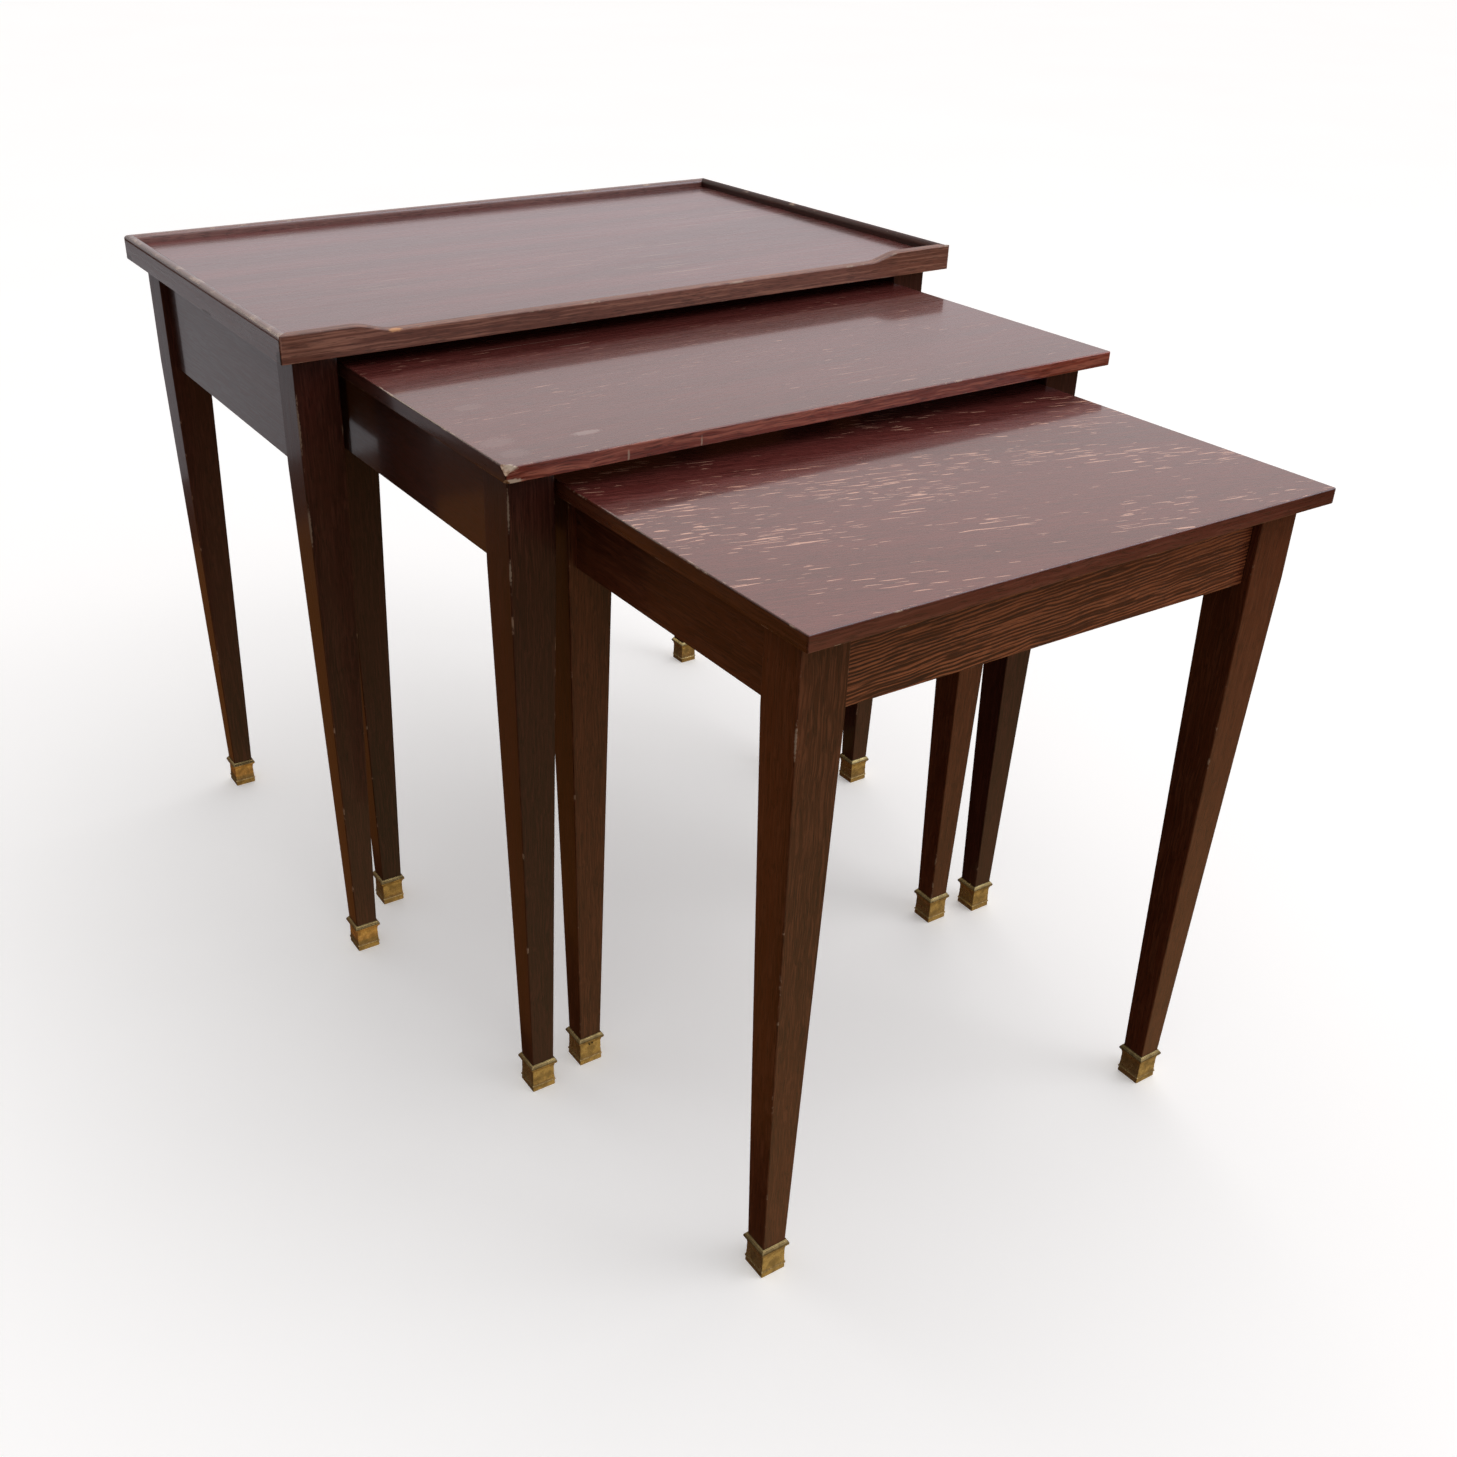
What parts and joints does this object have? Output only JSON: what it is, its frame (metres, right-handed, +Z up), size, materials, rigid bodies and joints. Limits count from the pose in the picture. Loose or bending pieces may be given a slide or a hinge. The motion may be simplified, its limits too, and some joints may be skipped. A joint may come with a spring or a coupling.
{
  "type": "nesting tables",
  "caption": "Nesting tables with square tapered legs in brass sabots, drawn out like steps; the largest has a gallery rim with a low front lip.",
  "frame": {"origin": "on the floor, in the middle of the footprint of the three tables as they stand here", "axes": "+Z up, -Y the way the tables are drawn out, +X to the right of someone who faces the tables' fronts"},
  "size_m": [0.6, 0.848, 0.541],
  "materials": {
    "large_wood": "dark reddish brown stain under a satin lacquer with worn arrises",
    "medium_wood": "dark reddish brown stain under a gloss lacquer with worn arrises",
    "small_wood": "dark brown stain under a gloss lacquer, with pale flecks in the grain",
    "brass": "aged cast brass, dull gold"
  },
  "bodies": {
    "large_table": {"large_apron_back": "large_wood", "large_apron_left": "large_wood", "large_apron_right": "large_wood", "large_cleat_left": "large_wood", "large_cleat_right": "large_wood", "large_leg_back_left": "large_wood", "large_leg_back_right": "large_wood", "large_leg_front_left": "large_wood", "large_leg_front_right": "large_wood", "large_rim_back": "large_wood", "large_rim_front": "large_wood", "large_rim_left": "large_wood", "large_rim_right": "large_wood", "large_sabot_back_left": "brass", "large_sabot_back_right": "brass", "large_sabot_front_left": "brass", "large_sabot_front_right": "brass", "large_top_panel": "large_wood"},
    "medium_table": {"medium_apron_back": "medium_wood", "medium_apron_left": "medium_wood", "medium_apron_right": "medium_wood", "medium_cleat_left": "medium_wood", "medium_cleat_right": "medium_wood", "medium_leg_back_left": "medium_wood", "medium_leg_back_right": "medium_wood", "medium_leg_front_left": "medium_wood", "medium_leg_front_right": "medium_wood", "medium_lipping_back": "medium_wood", "medium_lipping_front": "medium_wood", "medium_lipping_left": "medium_wood", "medium_lipping_right": "medium_wood", "medium_sabot_back_left": "brass", "medium_sabot_back_right": "brass", "medium_sabot_front_left": "brass", "medium_sabot_front_right": "brass", "medium_top_panel": "medium_wood"},
    "small_table": {"small_apron_back": "small_wood", "small_apron_front": "small_wood", "small_apron_left": "small_wood", "small_apron_right": "small_wood", "small_cleat_left": "small_wood", "small_cleat_right": "small_wood", "small_leg_back_left": "small_wood", "small_leg_back_right": "small_wood", "small_leg_front_left": "small_wood", "small_leg_front_right": "small_wood", "small_lipping_back": "small_wood", "small_lipping_front": "small_wood", "small_lipping_left": "small_wood", "small_lipping_right": "small_wood", "small_sabot_back_left": "brass", "small_sabot_back_right": "brass", "small_sabot_front_left": "brass", "small_sabot_front_right": "brass", "small_top_panel": "small_wood"}
  },
  "joints": [
    {"name": "medium_slide", "type": "slide", "parent": "large_table", "child": "medium_table", "axis": [0, -1, 0], "range_m": [-0.231, 0.115]},
    {"name": "small_slide", "type": "slide", "parent": "medium_table", "child": "small_table", "axis": [0, -1, 0], "range_m": [-0.242, 0.073]}
  ]
}
